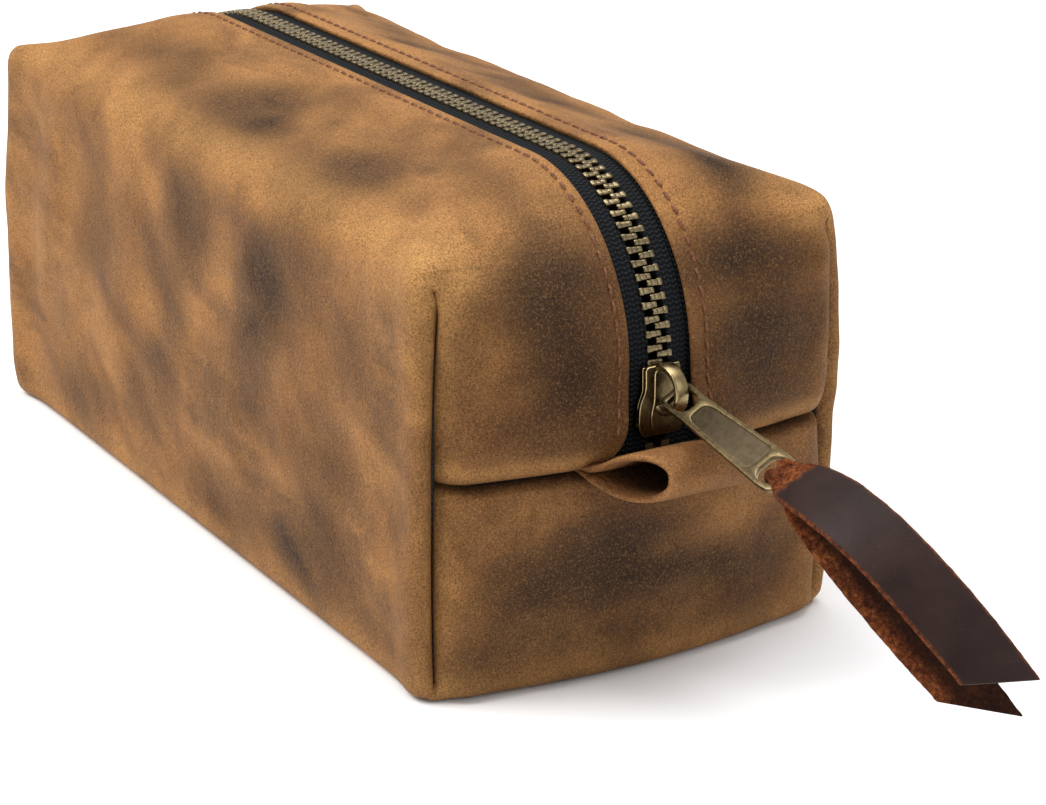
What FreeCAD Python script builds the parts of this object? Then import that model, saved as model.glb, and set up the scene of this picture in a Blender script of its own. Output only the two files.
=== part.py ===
import FreeCAD, Part
import os, math
from FreeCAD import Vector as V

# Boxed leather shaving kit bag with a long zip.
# Frame: millimetres, +X out of the end that holds the zip slider when it is
# closed, +Z up, origin at the middle of the flat base.

# ---- driving dimensions ----
HALF_L = 127.0        # half length at the corners
HALF_W = 57.0         # half width at the corners
SIDE_BULGE = 2.5      # how far a side wall bows out at mid height
H_CORNER = 108.0      # height at the corners
CROWN = 13.0          # extra height along the zip line
END_BULGE = 8.0       # extra half length at the middle of an end
R_CORNER = 14.0       # end-profile radius at the side walls
R_CENTRE = 45.0       # radius of the bend the zip goes over, front end
R_REAR = 60.0         # the same at the rear end, which slopes more
R_BASE = 6.0          # radius at the base edge
T_LEATHER = 2.0
T_LINE_0, T_LINE_1 = 2.9, 3.5      # depth of the lining below the surface
T_TAPE_0, T_TAPE_1 = 2.1, 2.8      # depth of the zip tape
SLOT_HALF = 10.0      # half gap between the leather edges at the zip
Z_SEAM = 54.0         # height of the horizontal end seam
TOOTH_PITCH = 3.3     # per side
TOOTH_L, TOOTH_T = 1.5, 3.0
TOOTH_OUT, TOOTH_IN = 3.4, 0.8
T_CHAIN = 2.45        # depth of the middle of the chain
STITCH_PITCH, STITCH_L = 4.2, 3.1
STITCH_Y = 13.0
SLIDER_Z0, SLIDER_Z1 = 61.0, 78.5
RING_X, RING_Z = 137.8, 73.0        # axis of the puller's swing
RING_RO, RING_RI, RING_HW = 6.2, 4.7, 1.75
PULL_ANGLE, PULL_ROLL = -8.0, 32.0
PULL_R0, PULL_R1 = 1.7, 47.0
PULL_T = 1.6
STRAP_HINGE = 45.9
STRAP_W, STRAP_T = 14.0, 1.5
TAB_Y0, TAB_Y1 = -21.0, 25.0
TAB_SKEW = 9.0        # how far the slit end of the tab leans over

os.makedirs("parts", exist_ok=True)


def save(shape, name):
    if not shape.isValid():
        print("INVALID", name)
    shape.exportStep("parts/%s.step" % name)
    b = shape.BoundBox
    print("%-24s solids %3d vol %10.1f  [%.1f %.1f %.1f] [%.1f %.1f %.1f]" % (
        name, len(shape.Solids), shape.Volume, b.XMin, b.YMin, b.ZMin, b.XMax, b.YMax, b.ZMax))


def box(x0, x1, y0, y1, z0, z1):
    return Part.makeBox(x1 - x0, y1 - y0, z1 - z0, V(x0, y0, z0))


def k(y):
    return 1 - (y / HALF_W) ** 2


def arc(a, b, c):
    return Part.Arc(V(*a), V(*b), V(*c)).toShape()


def seg(a, b):
    return Part.LineSegment(V(*a), V(*b)).toShape()


def xz_section(y, t):
    """Rounded end profile in the plane at y, moved in by t."""
    xh, zt = HALF_L + END_BULGE * k(y) - t, H_CORNER + CROWN * k(y) - t
    # the base runs 1 mm low here: bag() trims it to a true plane
    r, rb, zb = R_CORNER + (R_CENTRE - R_CORNER) * k(y) - t, max(R_BASE + 1 - t, 1.0), t - 1
    p = R_CORNER + (R_REAR - R_CORNER) * k(y) - t
    q, qb, qp = r * math.sqrt(.5), rb * math.sqrt(.5), p * math.sqrt(.5)
    e = [seg((-xh + rb, y, zb), (xh - rb, y, zb)),
         arc((xh - rb, y, zb), (xh - rb + qb, y, zb + rb - qb), (xh, y, zb + rb)),
         seg((xh, y, zb + rb), (xh, y, zt - r)),
         arc((xh, y, zt - r), (xh - r + q, y, zt - r + q), (xh - r, y, zt)),
         seg((xh - r, y, zt), (-xh + p, y, zt)),
         arc((-xh + p, y, zt), (-xh + p - qp, y, zt - p + qp), (-xh, y, zt - p)),
         seg((-xh, y, zt - p), (-xh, y, zb + rb)),
         arc((-xh, y, zb + rb), (-xh + rb - qb, y, zb + rb - qb), (-xh + rb, y, zb))]
    return Part.Wire(e)


def bag(t):
    """The bag's outer form moved in by t."""
    body = Part.makeLoft([xz_section(y, t) for y in (-61, -46, -24, 0, 24, 46, 61)], True, False)
    # cross-section along X: bowed sides, rounded long edges
    w, wb, d = HALF_W - t, HALF_W + SIDE_BULGE - t, .7 * t
    rb = max(R_BASE - t, 1.0)
    qb = rb * (1 - math.sqrt(.5))
    e = [seg((-200, -w + rb, t), (-200, w - rb, t)),
         arc((-200, w - rb, t), (-200, w - qb, t + qb), (-200, w, t + rb)),
         arc((-200, w, t + rb), (-200, wb, 54), (-200, w, 96)),
         arc((-200, w, 96), (-200, 53.6 - d, 105.4 - d), (-200, 45, 111.8 - t)),
         seg((-200, 45, 111.8 - t), (-200, 30, 145)),
         seg((-200, 30, 145), (-200, -30, 145)),
         seg((-200, -30, 145), (-200, -45, 111.8 - t)),
         arc((-200, -45, 111.8 - t), (-200, -53.6 + d, 105.4 - d), (-200, -w, 96)),
         arc((-200, -w, 96), (-200, -wb, 54), (-200, -w, t + rb)),
         arc((-200, -w, t + rb), (-200, -w + qb, t + qb), (-200, -w + rb, t))]
    body = body.common(Part.Face(Part.Wire(e)).extrude(V(400, 0, 0)))
    # plan section along Z: rounded vertical corners
    a, b, m, c = (121, 60 - t), (128.7 - t, 51), (126.9 - d, 57.0 - d), (150, 25)
    e = []
    for sx, sy in ((1, 1), (-1, 1), (-1, -1), (1, -1)):
        pts = [(sx * p[0], sy * p[1], -20) for p in (a, m, b, c)]
        if sx * sy > 0:
            pts = pts[::-1]
            e.append(("cbma", pts))
        else:
            e.append(("ambc", pts))
    edges, last, first = [], None, None
    for kind, p in e:
        if last is not None:
            edges.append(seg(last, p[0]))
        else:
            first = p[0]
        if kind == "cbma":
            edges += [seg(p[0], p[1]), arc(p[1], p[2], p[3])]
        else:
            edges += [arc(p[0], p[1], p[2]), seg(p[2], p[3])]
        last = p[3]
    edges.append(seg(last, first))
    return body.common(Part.Face(Part.Wire(edges)).extrude(V(0, 0, 180)))


def path_point(dist, depth, y=0.0):
    """Point and tangent on the zip path, measured up the front end from Z_SEAM."""
    xh, zt = HALF_L + END_BULGE * k(y), H_CORNER + CROWN * k(y)
    rf = R_CORNER + (R_CENTRE - R_CORNER) * k(y)
    rr = R_CORNER + (R_REAR - R_CORNER) * k(y)
    quarter = lambda r: (r - T_CHAIN) * math.pi / 2
    total = (zt - rf - Z_SEAM) + quarter(rf) + (2 * xh - rf - rr) + quarter(rr) + (zt - rr - Z_SEAM)
    flip = dist > total / 2
    s, r = (total - dist, rr) if flip else (dist, rf)
    up, q, rc = zt - r - Z_SEAM, quarter(r), r - T_CHAIN
    if s < up:
        x, z, a = xh - depth, Z_SEAM + s, 90.0
    elif s < up + q:
        th = (s - up) / rc
        x, z, a = xh - r + (r - depth) * math.cos(th), zt - r + (r - depth) * math.sin(th), 90 + math.degrees(th)
    else:
        x, z, a = xh - r - (s - up - q), zt - depth, 180.0
    if flip:
        x, a = -x, 360 - a
    return x, z, a, total


def along(dist, depth, y0, y1, length, thick, y=0.0):
    """Block of the given length along the path."""
    x, z, a, _ = path_point(dist, depth, y)
    b = Part.makeBox(length, y1 - y0, thick, V(-length / 2, y0, -thick / 2))
    b.Placement = FreeCAD.Placement(V(x, 0, z), FreeCAD.Rotation(V(0, -1, 0), a)).multiply(b.Placement)
    return b


TOTAL = path_point(0, 0)[3]

# ---- shell, lining ----
outer, in_leather = bag(0), bag(T_LEATHER)
wall = outer.cut(in_leather)
leather = wall.cut(box(-200, 200, -SLOT_HALF, SLOT_HALF, Z_SEAM + 2, 200))
save(leather, "leather_wrap")
lining_in = bag(T_LINE_1)
lining = bag(T_LINE_0).cut(lining_in).cut(box(-200, 200, -11, 11, Z_SEAM + 2, 200))
save(lining, "lining")

# ---- zip tapes, chain ----
tape_wall = bag(T_TAPE_0).cut(bag(T_TAPE_1))
save(tape_wall.common(box(-200, 200, -15, -TOOTH_OUT - .05, Z_SEAM + 1, 200)), "zip_tape_left")
save(tape_wall.common(box(-200, 200, TOOTH_OUT + .05, 15, Z_SEAM + 1, 200)), "zip_tape_right")
left, right = [], []
s, i = SLIDER_Z0 - Z_SEAM + 1.2, 0
while s < TOTAL - 8:
    z_here = Z_SEAM + s
    sep = 0.0
    if s < 20 and z_here < 72:
        sep = min(2.0, (72 - z_here) * .5)
    if i % 2:
        right.append(along(s, T_CHAIN, -TOOTH_IN + sep, TOOTH_OUT if sep == 0 else TOOTH_OUT, TOOTH_L, TOOTH_T))
    else:
        left.append(along(s, T_CHAIN, -TOOTH_OUT, TOOTH_IN - sep, TOOTH_L, TOOTH_T))
    s += TOOTH_PITCH / 2
    i += 1
save(Part.makeCompound(left), "zip_teeth_left")
save(Part.makeCompound(right), "zip_teeth_right")
save(Part.makeCompound([along(3.4, T_CHAIN, -3.4, -1.2, 2.4, 2.6), along(3.4, T_CHAIN, 1.2, 3.4, 2.4, 2.6)]), "zip_top_stops")
save(along(TOTAL - 5.4, T_CHAIN, -3.4, 3.4, 3.2, 3.2), "zip_bottom_stop")

# ---- stitching along the zip ----
for name, sgn in (("topstitch_left", -1), ("topstitch_right", 1)):
    st, tot = [], path_point(0, 0, STITCH_Y)[3]
    n = int((tot - 10) / STITCH_PITCH)
    for j in range(n):
        st.append(along(5 + (j + .5) * STITCH_PITCH, -.38, sgn * STITCH_Y - .35, sgn * STITCH_Y + .35, STITCH_L, .5, STITCH_Y))
    save(Part.makeCompound(st), name)

# ---- bound seam allowances inside the ends ----
ring = bag(T_LINE_1 + .1).cut(bag(11.0))
for name, sx in (("front", 1), ("rear", -1)):
    x0, x1 = (90, 200) if sx > 0 else (-200, -90)
    save(ring.common(box(x0, x1, -46, 46, Z_SEAM - 1.2, Z_SEAM + .8)), name + "_end_binding")
    c = []
    for sy in (-1, 1):
        for z0, z1 in ((18, Z_SEAM - 3), (Z_SEAM + 3, 92)):
            y0, y1 = (48.2, 50.2) if sy > 0 else (-50.2, -48.2)
            c.append(ring.common(box(*((112, 200) if sx > 0 else (-200, -112)), y0, y1, z0, z1)))
    save(Part.makeCompound([q for sh in c for q in sh.Solids]), name + "_corner_bindings")

# ---- slider ----
XS = HALF_L + END_BULGE


def plate(x0, x1, shrink=0.0):
    z0, z1, zs = SLIDER_Z0, SLIDER_Z1, 71.0
    p = [(-5.3, z0), (5.3, z0), (6.6, z0 + 2.5), (6.6, zs - 2), (5.2, zs + 1), (5.2, z1), (-5.2, z1), (-5.2, zs + 1), (-6.6, zs - 2), (-6.6, z0 + 2.5)]
    q = []
    for y, z in p:
        q.append(V(x0, y - shrink * (1 if y > 0 else -1), z))
    q.append(q[0])
    return Part.Face(Part.makePolygon(q)).extrude(V(x1 - x0, 0, 0))


def rim(x0, x1):
    return plate(x0, x1).cut(plate(x0 - 1, x1 + 1, .85)).cut(box(x0 - 1, x1 + 1, -4.3, 4.3, 0, 200))


upper = plate(XS - .65, XS + .55)
upper = upper.fuse(rim(XS - 1.8, XS - .65))
lower = plate(XS - 5.45, XS - 4.25).fuse(rim(XS - 4.25, XS - 3.1))
diamond = box(XS - 4.3, XS - .6, -1.1, 1.1, SLIDER_Z0 + .4, SLIDER_Z0 + 4.4)
slider = upper.fuse(lower).fuse(diamond).removeSplitter()
save(slider, "slider_body")
cyl = lambda r, hw: Part.makeCylinder(r, 2 * hw, V(RING_X, -hw, RING_Z), V(0, 1, 0))
crown = cyl(RING_RO, RING_HW).cut(cyl(RING_RI, RING_HW + 1)).common(box(XS + .57, 200, -5, 5, 0, 200))
save(crown, "slider_crown")
save(box(XS + .6, XS + .95, -.7, .7, SLIDER_Z0 + 2.5, RING_Z - RING_RO - .1), "slider_lock_spring")

# ---- puller, in its own frame: s out along it, w across, n off its face ----
an, ro = math.radians(PULL_ANGLE), math.radians(PULL_ROLL)
L = V(math.cos(an), 0, math.sin(an))
n0 = V(-math.sin(an), 0, math.cos(an))
W = V(0, math.cos(ro), 0) + n0 * math.sin(ro)
N = V(0, -math.sin(ro), 0) + n0 * math.cos(ro)


def placed(shape, s0=0.0):
    o = V(RING_X, 0, RING_Z) + L * s0
    m = FreeCAD.Matrix(L.x, W.x, N.x, o.x, L.y, W.y, N.y, o.y, L.z, W.z, N.z, o.z, 0, 0, 0, 1)
    sh = shape.copy()
    sh.Placement = FreeCAD.Placement(m).multiply(sh.Placement)
    return sh


def outline(pts, z0, z1):
    return Part.Face(Part.makePolygon([V(x, y, z0) for x, y in pts + pts[:1]])).extrude(V(0, 0, z1 - z0))


r0, r1 = PULL_R0, PULL_R1
pts = [(r0, -3.2), (r0 + 1, -4.2), (12, -4.3), (r1 - 3, -5.2), (r1, -3.4), (r1, 3.4), (r1 - 3, 5.2), (12, 4.3), (r0 + 1, 4.2), (r0, 3.2)]
pull = outline(pts, -PULL_T / 2, PULL_T / 2)
pull = pull.cut(outline([(3.3, -3.2), (8.6, -3.2), (10.2, -1.8), (10.2, 1.8), (8.6, 3.2), (3.3, 3.2)], -2, 2))
pull = pull.cut(outline([(39.2, -2.2), (40.8, -3.6), (44.8, -3.6), (44.8, 3.6), (40.8, 3.6), (39.2, 2.2)], -2, 2))
for z in (-PULL_T / 2 - .01, PULL_T / 2 - .29):
    pull = pull.cut(outline([(13.0, -2.6), (37.0, -3.6), (37.0, 3.6), (13.0, 2.6)], z, z + .3))
save(placed(pull), "puller")

# ---- folded strap: a neck round the end bar of the puller, two tails ----
neck = Part.makeCylinder(3.1, 6.4, V(0, -3.2, 0), V(0, 1, 0)).cut(Part.makeCylinder(1.6, 8, V(0, -4, 0), V(0, 1, 0)))
neck = neck.common(box(-5, .5, -5, 5, -5, 5))


def tail(a, b, c):
    """Band along the arc through three (s, n) points, STRAP_T thick."""
    ar = Part.Arc(V(a[0], 0, a[1]), V(b[0], 0, b[1]), V(c[0], 0, c[1]))
    cu = ar.toShape().Curve
    cen, rad = cu.Center, cu.Radius
    f = lambda p, r: cen + (V(p[0], 0, p[1]) - cen).normalize() * r
    ri, rr = rad - STRAP_T / 2, rad + STRAP_T / 2
    w = Part.Wire([Part.Arc(f(a, rr), f(b, rr), f(c, rr)).toShape(), Part.LineSegment(f(c, rr), f(c, ri)).toShape(),
                   Part.Arc(f(c, ri), f(b, ri), f(a, ri)).toShape(), Part.LineSegment(f(a, ri), f(a, rr)).toShape()])
    face = Part.Face(w)
    face.translate(V(0, -STRAP_W / 2, 0))
    body = face.extrude(V(0, STRAP_W, 0))
    shape = [(0, -3.2), (3, -3.2), (10, -STRAP_W / 2), (c[0] - 7, -STRAP_W / 2), (c[0] + 4, STRAP_W / 2), (10, STRAP_W / 2), (3, 3.2), (0, 3.2)]
    return body.common(outline(shape, -90, 60))


strap = neck.fuse(tail((0, 2.35), (37, 4.6), (70, -24.8))).fuse(tail((0, -2.35), (32, -13.8), (61, -45)))
strap = strap.removeSplitter()
save(placed(strap, STRAP_HINGE), "pull_strap")

# ---- loop tab standing out of the end seam ----
TX, TZ = 138.0, Z_SEAM + 1.0
TILT = .19            # rise of the tab per millimetre outwards


def teardrop(g):
    """Section of the tab, moved in by g, drawn out along Y."""
    y = TAB_Y0
    lift = lambda x: TILT * (x - TX)
    top = [(TX, 2.0), (TX + 8, 5.6), (TX + 13, 6.2)]
    low = [(TX + 13, -6.2), (TX + 8, -5.4), (TX, -2.0)]
    a = [V(x, y, TZ + h - g + lift(x)) for x, h in top]
    b = [V(x, y, TZ + h + g + lift(x)) for x, h in low]
    tip = V(TX + 19.5 - g, y, TZ + lift(TX + 18))
    e = [Part.LineSegment(a[0], a[1]).toShape(), Part.LineSegment(a[1], a[2]).toShape(), Part.Arc(a[2], tip, b[0]).toShape(),
         Part.LineSegment(b[0], b[1]).toShape(), Part.LineSegment(b[1], b[2]).toShape(), Part.LineSegment(b[2], a[0]).toShape()]
    return Part.Face(Part.Wire(e)).extrude(V(0, TAB_Y1 - TAB_Y0, 0))


tab = teardrop(0).cut(teardrop(1.97))
trim = Part.Face(Part.makePolygon([V(TX - 1, TAB_Y0 - 9, 0), V(TX + 30, TAB_Y0 - 9, 0), V(TX + 30, TAB_Y0 + TAB_SKEW * 1.5, 0),
                                   V(TX, TAB_Y0, 0), V(TX - 1, TAB_Y0 - .01, 0), V(TX - 1, TAB_Y0 - 9, 0)])).extrude(V(0, 0, 120))
trim2 = Part.Face(Part.makePolygon([V(TX - 1, TAB_Y1 + 9, 0), V(TX + 30, TAB_Y1 + 9, 0), V(TX + 30, TAB_Y1 - 6, 0),
                                    V(TX, TAB_Y1, 0), V(TX - 1, TAB_Y1 + .01, 0), V(TX - 1, TAB_Y1 + 9, 0)])).extrude(V(0, 0, 120))
save(tab.cut(trim).cut(trim2), "front_loop_tab")
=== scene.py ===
import bpy, bmesh, math
import numpy as np
from mathutils import Matrix, Vector


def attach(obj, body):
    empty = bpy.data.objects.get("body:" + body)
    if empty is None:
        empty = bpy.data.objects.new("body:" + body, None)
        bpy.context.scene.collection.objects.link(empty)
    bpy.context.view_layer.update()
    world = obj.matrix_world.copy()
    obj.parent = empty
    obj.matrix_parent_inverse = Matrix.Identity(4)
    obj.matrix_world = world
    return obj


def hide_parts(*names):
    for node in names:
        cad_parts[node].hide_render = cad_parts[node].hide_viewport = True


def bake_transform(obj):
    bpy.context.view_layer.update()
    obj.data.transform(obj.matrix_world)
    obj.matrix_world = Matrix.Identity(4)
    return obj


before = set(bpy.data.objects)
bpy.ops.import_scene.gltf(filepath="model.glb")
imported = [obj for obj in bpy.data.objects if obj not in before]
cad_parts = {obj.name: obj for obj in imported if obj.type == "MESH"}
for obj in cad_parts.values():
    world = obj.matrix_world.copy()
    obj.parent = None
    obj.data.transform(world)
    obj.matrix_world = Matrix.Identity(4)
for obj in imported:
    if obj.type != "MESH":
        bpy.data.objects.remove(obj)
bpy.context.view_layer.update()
MM = 0.001
sc = bpy.context.scene
rng = np.random.RandomState(11)

# ------------------------------------------------------------------ sizes (mm)
HL, HW, HC, CROWN, BULGE = 127.0, 57.0, 108.0, 13.0, 8.0
RCOR, RF, RR, RB = 14.0, 45.0, 60.0, 4.5
RC = 9.0
SY = {-1: 13.0, 1: 14.2}       # stitch line on the flat pattern, left and right
ZS = 54.0
SLOT = 10.0
PITCH = 3.3
RING = (137.8, 0.0, 73.0)


def sstep(a, b, x):
    t = np.clip((x - a) / (b - a), 0, 1)
    return t * t * (3 - 2 * t)


def smax(a, b, k):
    h = np.clip(0.5 + 0.5 * (a - b) / k, 0, 1)
    return b * (1 - h) + a * h + k * h * (1 - h)


def waves(p, scale, seed, n=14):
    """Smooth repeatable noise, about -1 to 1, features about scale mm."""
    r = np.random.RandomState(seed)
    out = np.zeros(len(p))
    for _ in range(n):
        d = r.normal(size=3); d /= np.linalg.norm(d)
        out += np.sin(p @ d * (2 * math.pi / (scale * r.uniform(.7, 1.6))) + r.uniform(0, 6.28))
    return out / math.sqrt(n)


def field(p):
    """Signed distance-like form of the bag's outside."""
    x, y, z = p[:, 0], p[:, 1], p[:, 2]
    k = np.clip(1 - (y / HW) ** 2, -.15, 1)
    xh, zt = HL + BULGE * k, HC + CROWN * k
    up = z > 50
    r = np.where(up, RC + (np.where(x > 0, RF, RR) - RC) * np.clip(k, 0, 1) ** .85, RB)
    dx = np.abs(x) - (xh - r)
    dz = np.where(up, z - (zt - r), r - z)
    f1 = np.hypot(np.maximum(dx, 0), np.maximum(dz, 0)) + np.minimum(np.maximum(dx, dz), 0) - r
    w = HW + 2.7 * (1 - np.abs((z - 44) / 64) ** 3)
    f2 = np.abs(y) - w
    end = sstep(92, 120, np.abs(x))
    kk = 11 - 7.5 * end - 7 * (1 - sstep(0, 16, z)) * (1 - end)
    return smax(f1, f2, kk)


CORE = np.array([[-80, -25, 30], [80, 25, 70]], float)


def on_field(hull):
    q = np.clip(hull, CORE[0], CORE[1])
    d = hull - q
    d /= np.linalg.norm(d, axis=1)[:, None]
    lo, hi = np.zeros(len(hull)), np.full(len(hull), 110.0)
    for _ in range(36):
        m = (lo + hi) / 2
        inside = field(q + d * m[:, None]) < 0
        lo, hi = np.where(inside, m, lo), np.where(inside, hi, m)
    return q + d * lo[:, None]


def field_normal(p, e=.4):
    g = np.stack([field(p + np.eye(3)[i] * e) - field(p - np.eye(3)[i] * e) for i in range(3)], 1)
    return g / np.maximum(np.linalg.norm(g, axis=1)[:, None], 1e-9)


def roll(s, r):
    """Depth of a rolled edge of radius r at s mm from its seam."""
    c = np.clip(r - s, 0, r)
    return r - np.sqrt(np.maximum(r * r - c * c, 0))


def flare(hull, end):
    """Leather edges spread away from the zip just above the end seam."""
    h = hull.copy()
    z, y = h[:, 2], np.abs(h[:, 1])
    c = np.clip((67 - z) / 13, 0, 1)
    w = SLOT + 12 * (1 - np.sqrt(np.maximum(1 - c * c, 0)))
    y2 = np.where(y >= SLOT - 1e-6, w + (y - SLOT) * (HW - w) / (HW - SLOT), y)
    use = end & (z >= ZS - 1e-6)
    h[:, 1] = np.where(use, np.sign(h[:, 1]) * y2, h[:, 1])
    left = (hull[:, 1] <= -(SLOT - 1e-6)) & (z >= ZS - 1e-6)
    h[:, 1] += np.where(left, 1.7 * (1 - sstep(10, 21, y)) * sstep(58, 84, z), 0)
    # the right-hand leather edge lies a little nearer the chain
    near = (hull[:, 1] >= SLOT - 1e-6) & (z >= ZS - 1e-6)
    h[:, 1] -= np.where(near, 1.7 * (1 - sstep(10, 21, y)) * sstep(56, 68, z), 0)
    return h


def bag_surface(hull, end, side, base, detail=True):
    """hull: points on the plain box; end, side, base: which of its faces. Gives positions and normals, mm."""
    h0 = hull
    hull = flare(hull, end)
    p = on_field(hull)
    n = field_normal(p)
    x, y, z = p[:, 0], p[:, 1], p[:, 2]
    ay, ax = np.abs(h0[:, 1]), np.abs(h0[:, 0])
    d = np.zeros(len(p))
    # horizontal end seam
    dz = h0[:, 2] - ZS
    upper = dz > 0
    hs = np.where(end, 1.0, 0.0)
    d -= hs * np.where(upper, roll(np.abs(dz), 6.0) * (4.6 / 6.0), roll(np.abs(dz), 2.6) * (4.6 / 2.6))
    d += hs * np.where(upper, 2.5 * np.exp(-((dz - 9.5) / 8) ** 2), .9 * np.exp(-((dz + 10) / 9) ** 2)) * (1 - sstep(44, 57, ay))
    # corner seams
    s = np.where(end, HW - ay, np.where(side, HL - ax, 99.0))
    fade = (1 - sstep(101, 107, h0[:, 2])) * sstep(-1, 5, h0[:, 2])
    d -= fade * np.where(end, roll(s, 6.5) * .72, roll(s, 8.5) * .62)
    d -= fade * np.where(end | side, 1, 0) * 1.3 * np.exp(-(s / 4.2) ** 2)
    d += fade * np.where(end, .9, 1.5) * np.exp(-((s - 9) / 5.5) ** 2)
    d -= fade * 1.3 * np.exp(-(s / 1.0) ** 2) + hs * 1.0 * np.exp(-(dz / 1.0) ** 2)
    d -= np.where(end | side, 1, 0) * 1.7 * np.exp(-(np.hypot(s, (h0[:, 2] - 102) * .8) / 4.5) ** 2)
    # stuffed-out front and rear top corners
    cd = np.sqrt((ax - HL) ** 2 + (ay - HW) ** 2 + (h0[:, 2] - HC) ** 2)
    d += 1.5 * np.exp(-(cd / 12) ** 2)
    # where the seams cross, everything is drawn in
    far = np.hypot(s, dz * .8)
    d -= np.where(side, .5, 2.2) * np.exp(-(far / 8) ** 2)
    # leather edge and stitch line along the zip
    top = (~side) & (~base) & (ay >= SLOT - 1e-6) & (h0[:, 2] >= ZS)
    e = ay - SLOT
    zipline = np.where(top, 1.0, 0.0) * np.where(end, sstep(57, 68, h0[:, 2]), 1.0)
    d -= zipline * (.75 * np.exp(-e / .55) + .42 * np.exp(-((ay - np.where(h0[:, 1] > 0, SY[1], SY[-1])) / .8) ** 2))
    d += zipline * .55 * np.exp(-((ay - 18) / 4.0) ** 2)
    if detail:
        near_zip = sstep(12, 26, ay + np.where(side, 60, 0))
        ground = sstep(0, 14, z)
        body = near_zip * ground
        d += body * (.62 * waves(p * [1, 1, 1.2], 62, 3) + .20 * waves(p, 22, 5) + .10 * waves(p, 9, 6))
        # soft drop of the top between zip and long edge
        d -= 1.3 * sstep(100, 108, z) * np.exp(-((ay - 34) / 14) ** 2) * (1 - sstep(70, 110, np.abs(x)))
        # upright dents near the far end of both sides
        for x0, a, w, sl in ((-106, -1.1, 6.0, .12), (-94, .9, 6.5, .22), (-82, -.9, 6.5, .34)):
            u = x - (x0 + sl * (z - 60))
            d += np.where(side, 1, 0) * a * np.exp(-(u / w) ** 2) * sstep(28, 52, z) * (1 - sstep(84, 104, z))
        # a shallow hollow behind each front corner
        d -= np.where(side, 1, 0) * 1.2 * np.exp(-((x - 84) / 26) ** 2 - ((z - 60) / 30) ** 2)
    q = p + n * d[:, None]
    q[:, 2] = np.maximum(q[:, 2], 0.0)
    return q, n


def lines(*runs):
    out = []
    for a, b, step in runs:
        m = max(1, int(round(abs(b - a) / step)))
        out += list(np.linspace(a, b, m + 1))
    r = []
    for v in out:
        if not r or abs(v - r[-1]) > 1e-6:
            r.append(v)
    return np.array(r)


half_y = lines((10, 14.4, .55), (14.4, 24, 1.6), (24, 48, 2.4), (48, 53, 1.0), (53, 57, .5))
YS = np.concatenate([-half_y[::-1], lines((-10, 10, 2.5))[1:-1], half_y])
half_x = lines((0, 112, 2.55), (112, 121, 1.3), (121, 127, .55))
XS = np.concatenate([-half_x[::-1], half_x[1:]])
ZSL = lines((0, 6, 1.0), (6, 46, 2.5), (46, 50.5, 1.1), (50.5, 57.5, .5), (57.5, 70, 1.2), (70, 100, 2.5), (100, 108, 1.2))


def shell(keep_slot=True):
    """Grid over the box: vertices, faces and which box face each vertex first came from."""
    index, pts, flags, faces = {}, [], [], []

    def vid(p, kind):
        key = (round(p[0], 4), round(p[1], 4), round(p[2], 4))
        if key not in index:
            index[key] = len(pts)
            pts.append(p)
            flags.append([False, False, False, False])
        flags[index[key]][kind] = True
        return index[key]

    def sheet(us, vs, make, kind, skip, flip):
        for i in range(len(us) - 1):
            for j in range(len(vs) - 1):
                c = make((us[i] + us[i + 1]) / 2, (vs[j] + vs[j + 1]) / 2)
                if skip(c):
                    continue
                q = [vid(make(us[a], vs[b]), kind) for a, b in ((i, j), (i + 1, j), (i + 1, j + 1), (i, j + 1))]
                faces.append(q[::-1] if flip else q)

    no = lambda c: False
    slot = lambda c: abs(c[1]) < SLOT
    eslot = lambda c: abs(c[1]) < SLOT and c[2] > ZS
    sheet(XS, YS, lambda u, v: (u, v, HC), 0, slot, False)
    sheet(XS, YS, lambda u, v: (u, v, 0.0), 3, no, True)
    sheet(YS, ZSL, lambda u, v: (HL, u, v), 1, eslot, False)
    sheet(YS, ZSL, lambda u, v: (-HL, u, v), 1, eslot, True)
    sheet(XS, ZSL, lambda u, v: (u, -HW, v), 2, no, False)
    sheet(XS, ZSL, lambda u, v: (u, HW, v), 2, no, True)
    return np.array(pts, float), np.array(flags), faces


def new_mesh(name, verts, faces, smooth=True, scale=MM):
    me = bpy.data.meshes.new(name)
    me.from_pydata([tuple(v) for v in np.asarray(verts, float) * scale], [], [tuple(int(i) for i in f) for f in faces])
    me.validate()
    me.update()
    if smooth:
        me.polygons.foreach_set("use_smooth", [True] * len(me.polygons))
    ob = bpy.data.objects.new(name, me)
    sc.collection.objects.link(ob)
    return ob


def attr(ob, name, values):
    a = ob.data.attributes.new(name, "FLOAT", "POINT")
    a.data.foreach_set("value", np.asarray(values, np.float32))


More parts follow.
